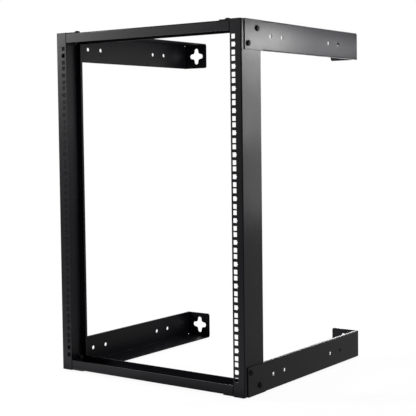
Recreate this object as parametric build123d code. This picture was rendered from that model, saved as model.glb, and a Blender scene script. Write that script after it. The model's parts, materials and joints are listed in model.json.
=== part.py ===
from build123d import *
import os

# Rack unit grid of the 19 inch rack, in millimetres
UNIT_COUNT = 16
UNIT_PITCH = 44.45
UNIT_HOLES = (6.35, 22.225, 38.1)
HOLE_COLUMN_SPACING = 465.1
HOLE_SIDE = 9.5
HOLE_TO_FLANGE_EDGE = 7.55
NOTCH_REACH = 1.9
NOTCH_HALF_HEIGHT = 2.4

# Depth from the front face to the wall
FRAME_DEPTH = 488.0

# Folded sheet steel
SHEET = 2.0
BEND_INSIDE = 0.5
RELIEF = 0.6

# Posts
POST_END_MARGIN = 29.4
FRONT_FLANGE = 28.0
POST_DEPTH = 72.0
REAR_FLANGE = 14.0
REAR_LIP = 7.5
POST_TAB_LENGTH = 56.0
POST_TAB_DEPTH = 56.0
POST_CORNER = 3.0

# Crossbars
BAR_HEIGHT = 21.0
BAR_DEPTH = 58.0
BAR_END_GAP = 2.0
EAR_DEPTH = 52.0
EAR_WIDTH = 22.0
EAR_HEIGHT = 25.0
EAR_CHAMFER = 10.0

# Wall brackets
BRACKET_HEIGHT = 62.0
BRACKET_SETBACK = 10.0
BRACKET_CORNER = 1.5
FLANGE_CORNER = 5.0
SHELF_GAP = 3.5
BRACKET_LIP = 7.0
SIDE_HOLE_DIAMETER = 9.0
SIDE_HOLE_PITCH = 44.45
SIDE_HOLE_PAIRS = (129.0, 373.0)
ANCHOR_SPACING = 431.8
ANCHOR_TO_FLANGE_END = 31.4
ANCHOR_SPAN = 41.0
ANCHOR_ARM = 12.5
ANCHOR_FILLET = 7.0

# M6 screws and nuts
THREAD = 6.0
SCREW_HOLE = 6.6
HEAD_DIAMETER = 12.0
HEAD_HEIGHT = 4.2
HEAD_RIM = 1.6
HEAD_TOP_DIAMETER = 7.0
NUT_ACROSS_FLATS = 10.0
NUT_HEIGHT = 5.0
NUT_CLEARANCE = 0.1
THREAD_END = 1.5
EAR_TO_REAR_SCREW = 3.0
REAR_SCREW_INSET = 17.5
FRONT_SCREW_DEPTH = 22.0
FRONT_SCREW_TO_BRACKET_EDGE = 12.5
BAR_SCREW_DEPTH = 20.0
BAR_SCREW_INSET = 46.0

# Places that follow from the sizes above
FRONT = -FRAME_DEPTH / 2
WALL = FRAME_DEPTH / 2
HALF_OPENING = HOLE_COLUMN_SPACING / 2 - HOLE_TO_FLANGE_EDGE
HALF_WIDTH = HALF_OPENING + FRONT_FLANGE
FRAME_WIDTH = 2 * HALF_WIDTH
FRAME_HEIGHT = UNIT_COUNT * UNIT_PITCH + 2 * POST_END_MARGIN
MID_HEIGHT = FRAME_HEIGHT / 2
BEND_OUTSIDE = BEND_INSIDE + SHEET
WEB_INNER = HALF_WIDTH - SHEET
BRACKET_OUTER = HALF_WIDTH + SHEET
POST_REAR = FRONT + POST_DEPTH
REAR_EDGE_X = HALF_WIDTH - REAR_FLANGE
BAR_FRONT_HALF = HALF_OPENING - BAR_END_GAP
BAR_REAR_HALF = REAR_EDGE_X - BAR_END_GAP
BRACKET_FRONT = FRONT + BRACKET_SETBACK
SHELF_START = POST_REAR + SHELF_GAP
BEND_ZONE = BEND_OUTSIDE + RELIEF
BAR_SCREW_X = HALF_WIDTH - BAR_SCREW_INSET
FLANGE_END_X = ANCHOR_SPACING / 2 - ANCHOR_TO_FLANGE_END
LIP_END = WALL - 2 * BEND_OUTSIDE
REAR_SCREW_DEPTH = EAR_DEPTH + EAR_TO_REAR_SCREW
FRONT_SCREW_INSET = BRACKET_HEIGHT - FRONT_SCREW_TO_BRACKET_EDGE

# Distance within which two coordinates count as the same
SAME = 1e-4


def block(x_range, y_range, z_range):
    """Plain block between two places on each axis."""
    sides = (x_range, y_range, z_range)
    centre = [(low + high) / 2 for low, high in sides]
    return Pos(*centre) * Box(*(high - low for low, high in sides))


def folded_sheet(points, inner_side):
    """Section of a folded sheet whose outer face runs through the points."""
    outer = FilletPolyline(*points, radius=BEND_OUTSIDE)
    return make_face(offset(outer, SHEET, side=inner_side))


def edges_at(part, axis, **place):
    """Straight edges along one axis at the given coordinates."""
    found = part.edges().filter_by(axis)
    return [e for e in found if all(abs(getattr(e.center(), k) - v) < SAME for k, v in place.items())]


def bored(part, diameter, axis_rotation, places):
    """Part with round through holes of one diameter at the places."""
    drill = Rotation(*axis_rotation) * Cylinder(diameter / 2, 6 * SHEET)
    return part - [Pos(*place) * drill for place in places]


ALONG_X = (0, 90, 0)
ALONG_Z = (0, 0, 0)


def rail_holes():
    """Cutter for one rail: three square holes a unit, the middle one with a pointed notch."""
    square = Rectangle(HOLE_SIDE, HOLE_SIDE)
    root = HOLE_SIDE / 2
    point = Polyline(
        (root - RELIEF, -NOTCH_HALF_HEIGHT),
        (root + NOTCH_REACH, 0),
        (root - RELIEF, NOTCH_HALF_HEIGHT),
        close=True,
    )
    notched = square + make_face(point)
    shapes = []
    for unit in range(UNIT_COUNT):
        for index, offset_z in enumerate(UNIT_HOLES):
            shape = notched if index == 1 else square
            shapes.append(Pos(0, POST_END_MARGIN + unit * UNIT_PITCH + offset_z) * shape)
    sketch = Sketch() + shapes
    at_front = Plane((HOLE_COLUMN_SPACING / 2, FRONT, 0), x_dir=(1, 0, 0), z_dir=(0, -1, 0))
    return extrude(at_front * sketch, SHEET * 2, both=True)


def post_tab():
    """Lower end of the post: the web folds inward into a tab below the crossbar."""
    points = [
        (HALF_WIDTH, BEND_ZONE),
        (HALF_WIDTH, 0),
        (HALF_WIDTH - POST_TAB_LENGTH, 0),
    ]
    start = FRONT + BEND_ZONE
    section = Plane.XZ.offset(-start) * folded_sheet(points, Side.RIGHT)
    return extrude(section, -(POST_TAB_DEPTH - BEND_ZONE))


def web_screw_places(outer_x):
    """Places of the two screws that join bracket and post at the lower end."""
    return [
        (outer_x, FRONT + REAR_SCREW_DEPTH, REAR_SCREW_INSET),
        (outer_x, FRONT + FRONT_SCREW_DEPTH, FRONT_SCREW_INSET),
    ]


def right_post():
    """Folded channel with a wide front flange, a web, and a lipped rear flange."""
    points = [
        (HALF_OPENING, FRONT),
        (HALF_WIDTH, FRONT),
        (HALF_WIDTH, POST_REAR),
        (REAR_EDGE_X, POST_REAR),
        (REAR_EDGE_X, POST_REAR - REAR_LIP),
    ]
    channel = extrude(folded_sheet(points, Side.LEFT), FRAME_HEIGHT)
    envelope = Plane.XZ * Pos(0, MID_HEIGHT) * RectangleRounded(FRAME_WIDTH, FRAME_HEIGHT, POST_CORNER)
    channel = channel & extrude(envelope, FRAME_DEPTH, both=True)
    x_range = (REAR_EDGE_X - RELIEF, HALF_WIDTH + RELIEF)
    y_range = (FRONT + BEND_OUTSIDE, POST_REAR + RELIEF)
    channel -= block(x_range, y_range, (-RELIEF, BEND_ZONE))
    lower = block((0, FRAME_WIDTH), (FRONT - RELIEF, WALL), (-RELIEF, MID_HEIGHT))
    half = (channel & lower) + post_tab()
    half = bored(half, SCREW_HOLE, ALONG_X, web_screw_places(HALF_WIDTH))
    half = bored(half, SCREW_HOLE, ALONG_Z, [(BAR_SCREW_X, FRONT + BAR_SCREW_DEPTH, 0)])
    whole = half + mirror(half, about=Plane.XY.offset(MID_HEIGHT))
    return whole - rail_holes()


def bar_ear():
    """Ear at the right end of the lower crossbar, folded up along the post web."""
    y_range = (FRONT + EAR_DEPTH - EAR_WIDTH / 2, FRONT + EAR_DEPTH + EAR_WIDTH / 2)
    foot = block((BAR_REAR_HALF + RELIEF, WEB_INNER), y_range, (SHEET, 2 * SHEET))
    upright = block((WEB_INNER - SHEET, WEB_INNER), y_range, (SHEET, SHEET + EAR_HEIGHT))
    ear = foot + upright
    ear = fillet(edges_at(ear, Axis.Y, X=WEB_INNER, Z=SHEET), BEND_OUTSIDE)
    ear = fillet(edges_at(ear, Axis.Y, X=WEB_INNER - SHEET, Z=2 * SHEET), BEND_INSIDE)
    tips = ear.edges().filter_by(Axis.X).group_by(Axis.Z)[-1]
    ear = chamfer(tips, EAR_CHAMFER)
    return bored(ear, SCREW_HOLE, ALONG_X, [(WEB_INNER, FRONT + REAR_SCREW_DEPTH, REAR_SCREW_INSET)])


def bottom_crossbar():
    """Channel that opens upward between the posts, screwed through its web and its end ears."""
    points = [
        (FRONT, SHEET + BAR_HEIGHT),
        (FRONT, SHEET),
        (FRONT + BAR_DEPTH, SHEET),
        (FRONT + BAR_DEPTH, SHEET + BAR_HEIGHT),
    ]
    section = Plane.YZ * folded_sheet(points, Side.LEFT)
    bar = extrude(section, WEB_INNER - BEND_OUTSIDE, both=True)
    z_range = (0, FRAME_HEIGHT)
    for side in (-1, 1):
        x_front = sorted((side * BAR_FRONT_HALF, side * FRAME_WIDTH))
        x_rear = sorted((side * BAR_REAR_HALF, side * FRAME_WIDTH))
        bar -= block(x_front, (FRONT - RELIEF, FRONT + BEND_OUTSIDE), z_range)
        bar -= block(x_rear, (FRONT + BAR_DEPTH - BEND_OUTSIDE, FRONT + BAR_DEPTH + RELIEF), z_range)
    ear = bar_ear()
    bar = bar + ear + mirror(ear, about=Plane.YZ)
    places = [(side * BAR_SCREW_X, FRONT + BAR_SCREW_DEPTH, SHEET) for side in (-1, 1)]
    return bored(bar, SCREW_HOLE, ALONG_Z, places)


def anchor_cutter():
    """Cross-shaped opening for one wall anchor, with round arm ends and round inner corners."""
    arm = SlotOverall(ANCHOR_SPAN, ANCHOR_ARM)
    cross = arm + Rot(0, 0, 90) * arm
    half_arm = ANCHOR_ARM / 2
    inner = [v for v in cross.vertices() if abs(abs(v.X) - half_arm) + abs(abs(v.Y) - half_arm) < SAME]
    cross = fillet(inner, ANCHOR_FILLET)
    place = Plane((ANCHOR_SPACING / 2, WALL, BRACKET_HEIGHT / 2), x_dir=(1, 0, 0), z_dir=(0, 1, 0))
    return extrude(place * cross, SHEET * 2, both=True)


def side_hole_places():
    """Places of the four round holes in one bracket side, in two pairs."""
    steps = (-SIDE_HOLE_PITCH / 2, SIDE_HOLE_PITCH / 2)
    depths = [pair + step for pair in SIDE_HOLE_PAIRS for step in steps]
    return [(HALF_WIDTH, FRONT + depth, BRACKET_HEIGHT / 2) for depth in depths]


def bottom_right_bracket():
    """Folded bracket: a side plate with a shelf below and a lip above, and a flange on the wall."""
    inner_x = BRACKET_OUTER - SHEET
    fold_y = WALL - BEND_ZONE
    side_centre = ((BRACKET_FRONT + WALL) / 2, BRACKET_HEIGHT / 2)
    side = Plane.YZ.offset(inner_x) * Pos(*side_centre) * Rectangle(WALL - BRACKET_FRONT, BRACKET_HEIGHT)
    side = extrude(side, SHEET)
    side = fillet(edges_at(side, Axis.X, Y=BRACKET_FRONT), BRACKET_CORNER)
    shelf = block((FLANGE_END_X, BRACKET_OUTER), (SHELF_START, WALL - SHEET - RELIEF), (0, SHEET))
    flange = block((FLANGE_END_X, BRACKET_OUTER), (WALL - SHEET, WALL), (0, BRACKET_HEIGHT))
    flange = fillet(edges_at(flange, Axis.Y, X=FLANGE_END_X), FLANGE_CORNER)
    lip_z = (BRACKET_HEIGHT - SHEET, BRACKET_HEIGHT)
    lip = block((BRACKET_OUTER - BRACKET_LIP, BRACKET_OUTER), (SHELF_START, LIP_END), lip_z)
    bracket = side + shelf + flange + lip
    notch_x = (BRACKET_OUTER - BEND_ZONE, BRACKET_OUTER + RELIEF)
    bracket -= block(notch_x, (fold_y, WALL + RELIEF), (-RELIEF, BEND_ZONE))
    relief_y = (SHELF_START - RELIEF, SHELF_START)
    bracket -= block(notch_x, relief_y, (-RELIEF, BEND_ZONE))
    lip_zone = (BRACKET_HEIGHT - BEND_ZONE, BRACKET_HEIGHT + RELIEF)
    bracket -= block(notch_x, relief_y, lip_zone)
    bracket -= block(notch_x, (LIP_END, LIP_END + RELIEF), lip_zone)
    bracket = fillet(edges_at(bracket, Axis.Z, X=BRACKET_OUTER, Y=WALL), BEND_OUTSIDE)
    bracket = fillet(edges_at(bracket, Axis.Z, X=inner_x, Y=WALL - SHEET), BEND_INSIDE)
    for outer_z, inner_z in ((0, SHEET), (BRACKET_HEIGHT, BRACKET_HEIGHT - SHEET)):
        outer = edges_at(bracket, Axis.Y, X=BRACKET_OUTER, Z=outer_z)
        folded = [e for e in outer if SHELF_START < e.center().Y < LIP_END]
        bracket = fillet(folded, BEND_OUTSIDE)
        bracket = fillet(edges_at(bracket, Axis.Y, X=inner_x, Z=inner_z), BEND_INSIDE)
    bracket = bored(bracket, SIDE_HOLE_DIAMETER, ALONG_X, side_hole_places())
    bracket = bored(bracket, SCREW_HOLE, ALONG_X, web_screw_places(inner_x))
    return bracket - anchor_cutter()


def screw(grip):
    """Pan head screw along Z: the head stands above zero, the shank runs down through the grip."""
    shank_end = -(grip + NUT_HEIGHT + THREAD_END)
    radius = HEAD_DIAMETER / 2
    outline = Polyline(
        (0, shank_end),
        (THREAD / 2, shank_end),
        (THREAD / 2, 0),
        (radius, 0),
        (radius, HEAD_RIM),
        (HEAD_TOP_DIAMETER / 2, HEAD_HEIGHT),
        (0, HEAD_HEIGHT),
        close=True,
    )
    return revolve(Plane.XZ * make_face(outline), Axis.Z)


def nut(grip):
    """Hexagon nut on the same axis, seated at the far end of the grip."""
    bore = THREAD / 2 + NUT_CLEARANCE
    hexagon = RegularPolygon(NUT_ACROSS_FLATS / 2, 6, major_radius=False) - Circle(bore)
    return Pos(0, 0, -(grip + NUT_HEIGHT)) * extrude(hexagon, NUT_HEIGHT)


def fasteners():
    """Screws and nuts of the lower right corner, by plain name."""
    outward = Rot(0, 90, 0)
    downward = Rot(180, 0, 0)
    rear_place, front_place = web_screw_places(BRACKET_OUTER)
    bar_place = (BAR_SCREW_X, FRONT + BAR_SCREW_DEPTH, 0)
    rear = (Pos(*rear_place) * outward, 3 * SHEET)
    front = (Pos(*front_place) * outward, 2 * SHEET)
    bar = (Pos(*bar_place) * downward, 2 * SHEET)
    made = {}
    for name, (place, grip) in {"rear": rear, "front": front, "bar": bar}.items():
        made[name + "_screw"] = place * screw(grip)
        made[name + "_nut"] = place * nut(grip)
    return made


def all_nodes():
    """Every piece of the rack by node name: right and bottom ones are made, the rest mirrored."""
    upside = Plane.XY.offset(MID_HEIGHT)
    post = right_post()
    bar = bottom_crossbar()
    nodes = {
        "right_post": post,
        "left_post": mirror(post, about=Plane.YZ),
        "bottom_crossbar": bar,
        "top_crossbar": mirror(bar, about=upside),
    }
    corner_pieces = {"bracket": bottom_right_bracket(), **fasteners()}
    for name, piece in corner_pieces.items():
        left_piece = mirror(piece, about=Plane.YZ)
        nodes["bottom_right_" + name] = piece
        nodes["bottom_left_" + name] = left_piece
        nodes["top_right_" + name] = mirror(piece, about=upside)
        nodes["top_left_" + name] = mirror(left_piece, about=upside)
    return nodes


# The rack stands on the heads of its lower crossbar screws, and the floor is at zero
os.makedirs("parts", exist_ok=True)
for node_name, solid in all_nodes().items():
    export_step(Pos(0, 0, HEAD_HEIGHT) * solid, f"parts/{node_name}.step")
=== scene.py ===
import json
import math

import bmesh
import bpy
from mathutils import Matrix, Vector


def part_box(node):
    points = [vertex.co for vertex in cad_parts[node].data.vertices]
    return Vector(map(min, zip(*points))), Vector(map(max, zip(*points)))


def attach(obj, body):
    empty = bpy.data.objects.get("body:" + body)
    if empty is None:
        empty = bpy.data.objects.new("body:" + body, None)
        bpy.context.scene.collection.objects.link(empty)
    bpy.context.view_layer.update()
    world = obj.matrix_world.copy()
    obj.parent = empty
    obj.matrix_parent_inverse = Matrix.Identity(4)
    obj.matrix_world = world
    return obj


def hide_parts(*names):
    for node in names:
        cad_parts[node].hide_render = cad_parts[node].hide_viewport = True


MM = 0.001

# Photograph's width and its camera: pixels, degrees, metres, and millimetres for the sensor
PHOTO = 416
FOCAL = 1065.0
CENTRE = (201.05, 187.1)
YAW, PITCH, ROLL = 36.123, -3.086, -0.717
CAMERA_PLACE = (1.4456, -2.0206, 0.5517)
CLIP_START = 0.05
SENSOR = 36.0

# Screws: ridged shank, pan head and cross recess
THREAD_RADIUS = 3.0 * MM
THREAD_DEPTH = 0.7 * MM
THREAD_PITCH = 1.0 * MM
HEAD_RADIUS = 6.0 * MM
HEAD_HEIGHT = 4.2 * MM
HEAD_RIM = 1.3 * MM
HEAD_EDGE = 0.2 * MM
CROWN_STEPS = 10
CROWN_WIDTH_POWER = 0.8
CROWN_HEIGHT_POWER = 0.9
RECESS_REACH = 3.3 * MM
RECESS_HALF_WIDTH = 0.75 * MM
RECESS_DEPTH = 2.2 * MM
RECESS_FLOOR_SHARE = 0.35

# Nuts
NUT_RADIUS = 5.77 * MM
NUT_BORE = 3.05 * MM
NUT_CHAMFER = 0.5 * MM
NUT_FACE_SHARE = 0.97

# Screws and nuts alike
ROUND_STEPS = 48
SHARP_ANGLE = math.radians(35)

# Edges of the folded sheet
EDGE_ROUND = 0.3 * MM
EDGE_SEGMENTS = 2
EDGE_ANGLE = math.radians(40)
WELD = 0.02 * MM

# Slow clouds over the grain of a finish, and the range over which it varies
CLOUD_SCALE = 6.0
MOTTLE_LOW = 0.12
MOTTLE_HIGH = 0.42

# Floor, the fade of its shadow, and the light of the surroundings
FLOOR_SIZE = 60
FLOOR_GREY = 0.86
SHADOW_NEAR = 0.3
SHADOW_FAR = 1.1
SHADOW_LEVEL = 0.94
WORLD_LEVEL = 0.45

# Planes that the near soft boxes stand in, and how high the ones on the floor are aimed
BESIDE_RACK = 0.44
OVER_FLOOR = 0.004
OVERHEAD = 1.0

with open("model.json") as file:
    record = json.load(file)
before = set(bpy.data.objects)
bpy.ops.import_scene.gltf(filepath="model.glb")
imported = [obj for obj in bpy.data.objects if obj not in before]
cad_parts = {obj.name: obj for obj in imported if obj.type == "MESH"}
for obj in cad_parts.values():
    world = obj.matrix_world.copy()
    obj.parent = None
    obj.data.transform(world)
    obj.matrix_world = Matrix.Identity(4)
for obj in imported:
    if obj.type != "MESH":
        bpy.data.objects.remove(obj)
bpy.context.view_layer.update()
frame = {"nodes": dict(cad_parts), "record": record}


# Shader nodes

def set_inputs(node, inputs):
    """Sets each named input to a value, or links it to another node's output."""
    for key, value in inputs.items():
        if isinstance(value, bpy.types.NodeSocket):
            node.id_data.links.new(value, node.inputs[key])
        else:
            node.inputs[key].default_value = value


def add_node(tree, kind, inputs, **settings):
    """New node with its inputs and settings."""
    node = tree.nodes.new(kind)
    for key, value in settings.items():
        setattr(node, key, value)
    set_inputs(node, inputs)
    return node


def combine(tree, operation, first, second):
    """Result of a calculation with two values."""
    return add_node(tree, "ShaderNodeMath", {0: first, 1: second}, operation=operation).outputs[0]


def seen_share(tree):
    """One where the camera sees a surface directly, mirrored or through glass, and zero elsewhere."""
    path = add_node(tree, "ShaderNodeLightPath", {})
    share = path.outputs["Is Camera Ray"]
    for ray in ("Is Glossy Ray", "Is Transmission Ray"):
        share = combine(tree, "MAXIMUM", share, path.outputs[ray])
    return share


def new_material(name):
    """Material with its node tree and its shader."""
    material = bpy.data.materials.new(name)
    material.use_nodes = True
    tree = material.node_tree
    return material, tree, tree.nodes["Principled BSDF"]


# Finishes

def grained(name, colours, roughness, grain, relief, ior):
    """Finish with a fine grain in colour, gloss and relief, over slow clouds in colour and gloss."""
    material, tree, shader = new_material(name)
    place = add_node(tree, "ShaderNodeTexCoord", {}).outputs["Object"]
    fine = add_node(tree, "ShaderNodeTexNoise", {
        "Vector": place, "Scale": grain, "Detail": 3.0, "Roughness": 0.6,
    })
    slow = add_node(tree, "ShaderNodeTexNoise", {"Vector": place, "Scale": CLOUD_SCALE, "Detail": 2.0})
    mottle = combine(tree, "MULTIPLY", fine.outputs["Fac"], slow.outputs["Fac"])

    base = add_node(tree, "ShaderNodeValToRGB", {"Fac": mottle})
    for stop, level, colour in zip(base.color_ramp.elements, (MOTTLE_LOW, MOTTLE_HIGH), colours):
        stop.position = level
        stop.color = (*colour, 1.0)
    gloss = add_node(tree, "ShaderNodeMapRange", {
        "Value": mottle, "From Min": MOTTLE_LOW, "From Max": MOTTLE_HIGH,
        "To Min": roughness[0], "To Max": roughness[1],
    })
    strength, height = relief
    bump = add_node(tree, "ShaderNodeBump", {
        "Height": fine.outputs["Fac"], "Strength": strength, "Distance": height,
    })
    set_inputs(shader, {
        "Base Color": base.outputs["Color"], "Roughness": gloss.outputs["Result"],
        "Normal": bump.outputs["Normal"], "IOR": ior,
    })
    return material


def powder_coat():
    """Black satin powder coat with a fine pebbled grain."""
    return grained(
        "powder_coat_black", colours=((0.0020, 0.0019, 0.0027), (0.0038, 0.0037, 0.0050)),
        roughness=(0.30, 0.43), grain=520.0, relief=(0.35, 0.2 * MM), ior=1.16,
    )


def screw_finish():
    """Black screw finish, duller and a little warmer than the coat."""
    return grained(
        "black_screw", colours=((0.0045, 0.0042, 0.004), (0.010, 0.009, 0.0086)),
        roughness=(0.50, 0.60), grain=1400.0, relief=(0.15, 0.05 * MM), ior=1.14,
    )


MATERIALS = {"powder_coated_steel": powder_coat(), "black_screw_steel": screw_finish()}
SLOT_OF = {row["node"]: row["material_slot"] for row in frame["record"]["subparts"]}


# Folded sheet pieces: the CAD solids with a softly rounded edge

def finish_sheet(obj):
    """Rounds the cut edges a little and gives the solid its coat."""
    weld = obj.modifiers.new("weld", "WELD")
    weld.merge_threshold = WELD
    soften = obj.modifiers.new("edge_round", "BEVEL")
    soften.width = EDGE_ROUND
    soften.segments = EDGE_SEGMENTS
    soften.limit_method = "ANGLE"
    soften.angle_limit = EDGE_ANGLE
    soften.harden_normals = True
    obj.data.materials.clear()
    obj.data.materials.append(MATERIALS["powder_coated_steel"])


# Round meshes

def ring(bm, radius_at, height):
    """Ring of vertices around Z, with a radius for each angle."""
    vertices = []
    for i in range(ROUND_STEPS):
        angle = 2 * math.pi * i / ROUND_STEPS
        radius = radius_at(angle)
        vertices.append(bm.verts.new((radius * math.cos(angle), radius * math.sin(angle), height)))
    return vertices


def skin(bm, rings):
    """Faces from each ring to the next, where a ring of one vertex is a pole."""
    for low, high in zip(rings, rings[1:]):
        for i in range(ROUND_STEPS):
            j = (i + 1) % ROUND_STEPS
            corners = [low[i % len(low)], low[j % len(low)], high[j % len(high)], high[i % len(high)]]
            bm.faces.new(list(dict.fromkeys(corners)))


def lathe(bm, profile):
    """Skin turned around Z from points of radius and height, with a pole where the radius is zero."""
    rings = []
    for radius, height in profile:
        if radius == 0:
            rings.append([bm.verts.new((0, 0, height))])
        else:
            rings.append(ring(bm, lambda angle: radius, height))
    skin(bm, rings)


def mesh_from(name, fill):
    """New smooth mesh with sharp edges kept, filled by a function that works on a bmesh."""
    bm = bmesh.new()
    fill(bm)
    bmesh.ops.recalc_face_normals(bm, faces=bm.faces)
    mesh = bpy.data.meshes.new(name)
    bm.to_mesh(mesh)
    bm.free()
    for polygon in mesh.polygons:
        polygon.use_smooth = True
    mesh.set_sharp_from_angle(angle=SHARP_ANGLE)
    return mesh


def add_object(name, data):
    """New object in the scene."""
    obj = bpy.data.objects.new(name, data)
    bpy.context.scene.collection.objects.link(obj)
    return obj


# Screws and nuts, made once for each length and placed on the CAD nodes they stand for

def shank_profile(shank):
    """Ridged shank below zero, from the middle of its end up to the head's seat."""
    root = THREAD_RADIUS - THREAD_DEPTH
    points = [(0, -shank), (root, -shank)]
    height = -shank + THREAD_PITCH / 2
    while height < -THREAD_PITCH:
        points.append((root, height - THREAD_PITCH / 4))
        points.append((THREAD_RADIUS, height + THREAD_PITCH / 4))
        height += THREAD_PITCH
    return [*points, (THREAD_RADIUS, -THREAD_PITCH / 2)]


def head_profile():
    """Rounded pan head above zero, from its seat to the middle of its crown."""
    points = [
        (THREAD_RADIUS, 0),
        (HEAD_RADIUS - HEAD_EDGE, 0),
        (HEAD_RADIUS, HEAD_EDGE),
        (HEAD_RADIUS, HEAD_RIM),
    ]
    for i in range(1, CROWN_STEPS):
        turn = math.pi / 2 * i / CROWN_STEPS
        radius = HEAD_RADIUS * math.cos(turn) ** CROWN_WIDTH_POWER
        height = HEAD_RIM + (HEAD_HEIGHT - HEAD_RIM) * math.sin(turn) ** CROWN_HEIGHT_POWER
        points.append((radius, height))
    return [*points, (0, HEAD_HEIGHT)]


def recess_bar(turn):
    """Cutter for one bar of the cross recess, with sides that slope in towards the floor."""
    def fill(bm):
        corners = bmesh.ops.create_cube(bm, size=2.0)["verts"]
        for corner in corners:
            share = 1.0 if corner.co.z > 0 else RECESS_FLOOR_SHARE
            corner.co = Vector((
                corner.co.x * RECESS_REACH * share,
                corner.co.y * RECESS_HALF_WIDTH * share,
                corner.co.z * RECESS_DEPTH + HEAD_HEIGHT,
            ))
        bmesh.ops.transform(bm, matrix=Matrix.Rotation(turn, 4, "Z"), verts=corners)
    return add_object("recess", mesh_from("recess", fill))


def screw_mesh(shank):
    """Pan head screw with a cross recess and a ridged shank of a given length."""
    def fill(bm):
        lathe(bm, shank_profile(shank) + head_profile())
    screw = add_object("screw_blank", mesh_from("screw_blank", fill))
    cutters = [recess_bar(0.0), recess_bar(math.pi / 2)]
    for cutter in cutters:
        cut = screw.modifiers.new("recess", "BOOLEAN")
        cut.operation = "DIFFERENCE"
        cut.solver = "EXACT"
        cut.object = cutter
    bpy.context.view_layer.update()
    graph = bpy.context.evaluated_depsgraph_get()
    mesh = bpy.data.meshes.new_from_object(screw.evaluated_get(graph))
    mesh.set_sharp_from_angle(angle=SHARP_ANGLE)
    for obj in [screw, *cutters]:
        bpy.data.objects.remove(obj)
    return mesh


def nut_mesh(height):
    """Hexagon nut with chamfered corners and a plain bore, from zero down."""
    half_flats = NUT_RADIUS * math.cos(math.pi / 6)

    def bore(angle):
        return NUT_BORE

    def face_circle(angle):
        return half_flats * NUT_FACE_SHARE

    def hexagon(angle):
        from_flat = (angle + math.pi / 6) % (math.pi / 3) - math.pi / 6
        return half_flats / math.cos(from_flat)

    def fill(bm):
        rings = [
            ring(bm, bore, -height),
            ring(bm, face_circle, -height),
            ring(bm, hexagon, NUT_CHAMFER - height),
            ring(bm, hexagon, -NUT_CHAMFER),
            ring(bm, face_circle, 0),
            ring(bm, bore, 0),
        ]
        skin(bm, [*rings, rings[0]])
    return mesh_from("nut", fill)


def is_fastener(node):
    """Whether a node is a screw or a nut."""
    return node.endswith(("_screw", "_nut"))


def outward(level, side, kind):
    """Direction along a fastener, away from the rack: up or down for a bar's, sideways for the others."""
    if kind == "bar":
        return Vector((0, 0, 1 if level == "top" else -1))
    return Vector((1 if side == "right" else -1, 0, 0))


def place_fastener(node, mesh, direction, seat):
    """Puts a fastener mesh where its CAD node is, with its zero height at the seat."""
    obj = add_object(node + "_detail", mesh)
    obj.matrix_world = Matrix.Translation(seat) @ direction.to_track_quat("Z", "Y").to_matrix().to_4x4()
    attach(obj, "root")
    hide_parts(node)


def dress_fasteners():
    """Detailed screws and nuts for every corner."""
    meshes = {}
    for node in filter(is_fastener, frame["nodes"]):
        level, side, kind, what = node.split("_")
        direction = outward(level, side, kind)
        axis = 2 if kind == "bar" else 0
        low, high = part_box(node)
        length = high[axis] - low[axis]
        seat = (low + high) / 2
        seat[axis] = high[axis] if direction[axis] > 0 else low[axis]
        if what == "screw":
            seat[axis] -= direction[axis] * HEAD_HEIGHT
        key = (what, round(length, 5))
        if key not in meshes:
            meshes[key] = screw_mesh(length - HEAD_HEIGHT) if what == "screw" else nut_mesh(length)
            meshes[key].materials.append(MATERIALS[SLOT_OF[node]])
        place_fastener(node, meshes[key], direction, seat)


# Stage, light and camera

def white_stage():
    """Pale floor that stays white to the camera, with a faint soft shadow by the rack."""
    bpy.ops.mesh.primitive_plane_add(size=FLOOR_SIZE)
    floor = bpy.context.object
    floor.name = "floor"
    material, tree, shader = new_material("floor_white")
    set_inputs(shader, {"Base Color": (FLOOR_GREY, FLOOR_GREY, FLOOR_GREY, 1), "Roughness": 0.8})
    place = add_node(tree, "ShaderNodeTexCoord", {}).outputs["Object"]
    distance = add_node(tree, "ShaderNodeVectorMath", {0: place}, operation="LENGTH").outputs["Value"]
    fade = add_node(tree, "ShaderNodeMapRange", {
        "Value": distance, "From Min": SHADOW_NEAR, "From Max": SHADOW_FAR,
        "To Min": SHADOW_LEVEL, "To Max": 1.0,
    })
    share = combine(tree, "MULTIPLY", seen_share(tree), fade.outputs["Result"])
    glow = add_node(tree, "ShaderNodeEmission", {"Color": (1, 1, 1, 1), "Strength": 1.0})
    mixed = add_node(tree, "ShaderNodeMixShader", {0: share, 1: shader.outputs[0], 2: glow.outputs[0]})
    set_inputs(tree.nodes["Material Output"], {"Surface": mixed.outputs[0]})
    floor.data.materials.append(material)


def white_world():
    """World that is white to the camera and in reflections, and otherwise lights at a softer level."""
    world = bpy.data.worlds.new("studio")
    world.use_nodes = True
    bpy.context.scene.world = world
    tree = world.node_tree
    strength = add_node(tree, "ShaderNodeMapRange", {
        "Value": seen_share(tree), "To Min": WORLD_LEVEL, "To Max": 1.0,
    })
    set_inputs(tree.nodes["Background"], {"Color": (1, 1, 1, 1), "Strength": strength.outputs["Result"]})


def softbox(name, place, target, width, height, power):
    """Rectangular lamp that faces a target."""
    data = bpy.data.lights.new(name, "AREA")
    data.shape = "RECTANGLE"
    data.size = width
    data.size_y = height
    data.energy = power
    lamp = add_object(name, data)
    lamp.location = place
    lamp.rotation_euler = (Vector(target) - Vector(place)).to_track_quat("-Z", "Y").to_euler()
    lamp.visible_camera = False


def right_box(name, y, z, width, height, power):
    """Soft box close beside the right post and brackets, facing the rack's middle plane."""
    softbox(name, (BESIDE_RACK, y, z), (0, y, z), width, height, power)


def floor_box(name, x, y, width, height, power):
    """Soft box that stands for light thrown back by the floor."""
    softbox(name, (x, y, OVER_FLOOR), (x, y, OVERHEAD), width, height, power)


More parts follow.
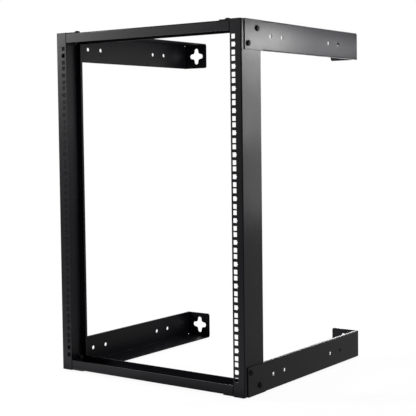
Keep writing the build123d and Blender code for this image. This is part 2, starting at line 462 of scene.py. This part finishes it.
def light_rack():
    """Soft boxes at the sides, the front left, the floor and the back."""
    right_box("right_top_box", 0.09, 0.762, width=0.24, height=0.024, power=1.85)
    right_box("right_rear_box", 0.41, 0.762, width=0.40, height=0.024, power=0.66)
    right_box("right_upper_box", 0.10, 0.70, width=0.26, height=0.06, power=0.95)
    right_box("right_middle_box", 0.10, 0.595, width=0.26, height=0.15, power=1.5)
    right_box("right_low_box", 0.10, 0.43, width=0.26, height=0.18, power=0.78)
    right_box("right_base_box", 0.10, 0.18, width=0.26, height=0.32, power=0.15)

    softbox("inner_left_box", (0.20, 0.48, 0.67), (0, 0.48, 0.67), width=0.55, height=0.18, power=1.2)

    left_post = (-0.2, -0.24, 0.65)
    softbox("front_left_box", (-1.9, -1.55, 1.2), left_post, width=0.45, height=0.6, power=66)
    softbox("front_left_high_box", (-2.2, -1.45, 1.6), left_post, width=0.35, height=0.8, power=18)

    floor_box("front_floor_box", -0.2, -0.585, width=1.0, height=0.60, power=3.6)
    floor_box("bar_floor_box", -0.26, -0.31, width=0.40, height=0.13, power=0.15)
    floor_box("bay_floor_box", 0.14, 0.11, width=0.14, height=0.2, power=0.32)

    lower_right, upper_right = (0.25, 0.1, 0.06), (0.25, 0.0, 0.77)
    softbox("rear_left_rim_box", (-1.22, 2.65, 0.67), lower_right, width=0.75, height=0.4, power=11)
    softbox("rear_high_box", (0.0, 2.1, 2.05), upper_right, width=0.6, height=0.6, power=15)


def photo_camera():
    """Camera at the photograph's place and angle."""
    data = bpy.data.cameras.new("photo_camera")
    data.sensor_width = SENSOR
    data.lens = FOCAL / PHOTO * SENSOR
    data.shift_x = (PHOTO / 2 - CENTRE[0]) / PHOTO
    data.shift_y = (CENTRE[1] - PHOTO / 2) / PHOTO
    data.clip_start = CLIP_START
    yaw, pitch, roll = (math.radians(angle) for angle in (YAW, PITCH, ROLL))
    ahead = Vector((-math.sin(yaw) * math.cos(pitch), math.cos(yaw) * math.cos(pitch), math.sin(pitch)))
    right = ahead.cross(Vector((0, 0, 1))).normalized()
    up = right.cross(ahead)
    turned_right = right * math.cos(roll) + up * math.sin(roll)
    turned_up = up * math.cos(roll) - right * math.sin(roll)
    turn = Matrix((turned_right, turned_up, -ahead)).transposed().to_4x4()
    camera = add_object("photo_camera", data)
    camera.matrix_world = Matrix.Translation(CAMERA_PLACE) @ turn
    bpy.context.scene.camera = camera


for node, obj in frame["nodes"].items():
    if not is_fastener(node):
        finish_sheet(obj)
dress_fasteners()
white_stage()
white_world()
light_rack()
photo_camera()

bpy.context.scene.view_settings.view_transform = "Standard"
